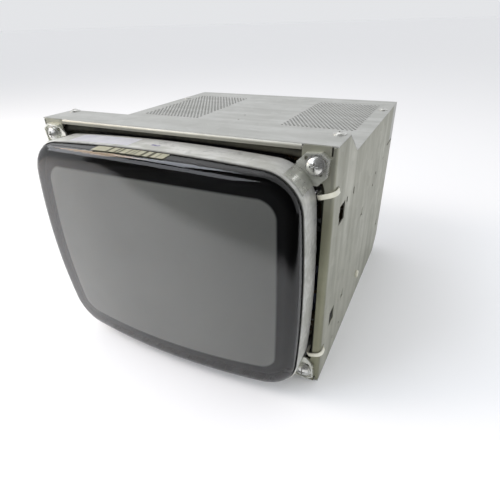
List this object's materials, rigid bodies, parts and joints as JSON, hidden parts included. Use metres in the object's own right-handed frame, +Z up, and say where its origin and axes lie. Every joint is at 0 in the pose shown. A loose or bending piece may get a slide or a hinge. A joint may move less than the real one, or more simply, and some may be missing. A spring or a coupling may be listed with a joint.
{
  "type": "crt display unit",
  "caption": "Picture tube with rimband and corner lugs, screwed into an open perforated sheet-steel chassis with deflection yoke, boards and rear controls.",
  "frame": {"origin": "middle of the underside of the whole unit", "axes": "+X to the right seen from the front, +Y from the screen to the rear panel, +Z up"},
  "size_m": [0.3364, 0.3974, 0.2656],
  "materials": {
    "galvanised_sheet": "satin zinc-coated sheet",
    "band_steel": "satin plated strip",
    "zinc_fastener": "bright plated",
    "face_glass": "polished dark-tint glass",
    "phosphor": "matt grey coating",
    "mask_steel": "blackened sheet",
    "funnel_glass": "glass with matt graphite coating",
    "neck_glass": "clear glass",
    "black_tape": "woven adhesive tape",
    "nylon": "natural nylon",
    "black_plastic": "moulded",
    "grey_plastic": "moulded",
    "copper_wire": "enamelled winding",
    "ferrite": "sintered",
    "aluminium": "extruded",
    "rubber": "moulded",
    "circuit_board": "laminate",
    "components": "moulded and sleeved parts",
    "magnet_plastic": "bonded ferrite",
    "cable": "insulated wire",
    "braid": "tinned copper braid"
  },
  "bodies": {
    "unit": {"side_panel_right": "galvanised_sheet", "side_panel_left": "galvanised_sheet", "top_cover": "galvanised_sheet", "bottom_pan": "galvanised_sheet", "rear_panel": "galvanised_sheet", "cover_screws": "zinc_fastener", "rear_hardware": "zinc_fastener", "bottom_rivets": "zinc_fastener", "corner_lugs": "band_steel", "lug_screws": "zinc_fastener", "lug_washers": "zinc_fastener", "implosion_band": "band_steel", "band_tape": "black_tape", "crt_faceplate": "face_glass", "phosphor_screen": "phosphor", "shadow_mask": "mask_steel", "mask_frame": "mask_steel", "internal_shield": "mask_steel", "crt_funnel": "funnel_glass", "crt_neck": "neck_glass", "crt_base": "black_plastic", "electron_gun": "zinc_fastener", "anode_cap": "rubber", "anode_lead": "cable", "ground_braid": "braid", "degaussing_coil": "black_tape", "cable_ties": "nylon", "yoke_liner": "grey_plastic", "horizontal_coils": "copper_wire", "vertical_coils": "copper_wire", "yoke_core": "ferrite", "yoke_clamp": "zinc_fastener", "yoke_wedges": "rubber", "magnet_holder": "black_plastic", "crt_socket": "grey_plastic", "neck_board": "circuit_board", "main_board": "circuit_board", "nylon_spacers": "nylon", "flyback_transformer": "black_plastic", "capacitors": "components", "heatsinks": "aluminium", "board_parts": "components", "control_board": "circuit_board", "mains_inlet": "black_plastic", "signal_connector": "zinc_fastener", "fuse_holder": "black_plastic", "wiring": "cable"},
    "purity_ring_front": {"purity_ring_front": "magnet_plastic"},
    "purity_ring_rear": {"purity_ring_rear": "magnet_plastic"},
    "four_pole_ring_front": {"four_pole_ring_front": "magnet_plastic"},
    "four_pole_ring_rear": {"four_pole_ring_rear": "magnet_plastic"},
    "six_pole_ring_front": {"six_pole_ring_front": "magnet_plastic"},
    "six_pole_ring_rear": {"six_pole_ring_rear": "magnet_plastic"},
    "lock_ring": {"lock_ring": "nylon"},
    "focus_knob": {"focus_knob": "grey_plastic"},
    "screen_knob": {"screen_knob": "grey_plastic"},
    "brightness_knob": {"brightness_knob": "black_plastic"},
    "contrast_knob": {"contrast_knob": "black_plastic"},
    "height_knob": {"height_knob": "black_plastic"},
    "fuse_cap": {"fuse_cap": "black_plastic"}
  },
  "joints": [
    {"name": "purity_ring_front_turn", "type": "hinge", "parent": "unit", "child": "purity_ring_front", "pos_m": [0, 0.02685, 0.1315], "axis": [0, 1, 0], "continuous": true},
    {"name": "purity_ring_rear_turn", "type": "hinge", "parent": "unit", "child": "purity_ring_rear", "pos_m": [0, 0.029, 0.1315], "axis": [0, 1, 0], "continuous": true},
    {"name": "four_pole_ring_front_turn", "type": "hinge", "parent": "unit", "child": "four_pole_ring_front", "pos_m": [0, 0.0331, 0.1315], "axis": [0, 1, 0], "continuous": true},
    {"name": "four_pole_ring_rear_turn", "type": "hinge", "parent": "unit", "child": "four_pole_ring_rear", "pos_m": [0, 0.03525, 0.1315], "axis": [0, 1, 0], "continuous": true},
    {"name": "six_pole_ring_front_turn", "type": "hinge", "parent": "unit", "child": "six_pole_ring_front", "pos_m": [0, 0.03935, 0.1315], "axis": [0, 1, 0], "continuous": true},
    {"name": "six_pole_ring_rear_turn", "type": "hinge", "parent": "unit", "child": "six_pole_ring_rear", "pos_m": [0, 0.0415, 0.1315], "axis": [0, 1, 0], "continuous": true},
    {"name": "lock_ring_turn", "type": "hinge", "parent": "unit", "child": "lock_ring", "pos_m": [0, 0.0472, 0.1315], "axis": [0, 1, 0], "range_deg": [0, 90]},
    {"name": "focus_knob_turn", "type": "hinge", "parent": "unit", "child": "focus_knob", "pos_m": [0.092, 0.10595, 0.0556], "axis": [0, 1, 0], "range_deg": [-135, 135]},
    {"name": "screen_knob_turn", "type": "hinge", "parent": "unit", "child": "screen_knob", "pos_m": [0.092, 0.10595, 0.0356], "axis": [0, 1, 0], "range_deg": [-135, 135]},
    {"name": "brightness_knob_turn", "type": "hinge", "parent": "unit", "child": "brightness_knob", "pos_m": [0.062, 0.18975, 0.06], "axis": [0, 1, 0], "range_deg": [-140, 140]},
    {"name": "contrast_knob_turn", "type": "hinge", "parent": "unit", "child": "contrast_knob", "pos_m": [0.092, 0.18975, 0.06], "axis": [0, 1, 0], "range_deg": [-140, 140]},
    {"name": "height_knob_turn", "type": "hinge", "parent": "unit", "child": "height_knob", "pos_m": [0.122, 0.18975, 0.06], "axis": [0, 1, 0], "range_deg": [-140, 140]},
    {"name": "fuse_cap_turn", "type": "hinge", "parent": "unit", "child": "fuse_cap", "pos_m": [-0.072, 0.18895, 0.06], "axis": [0, 1, 0], "range_deg": [0, 60]}
  ]
}
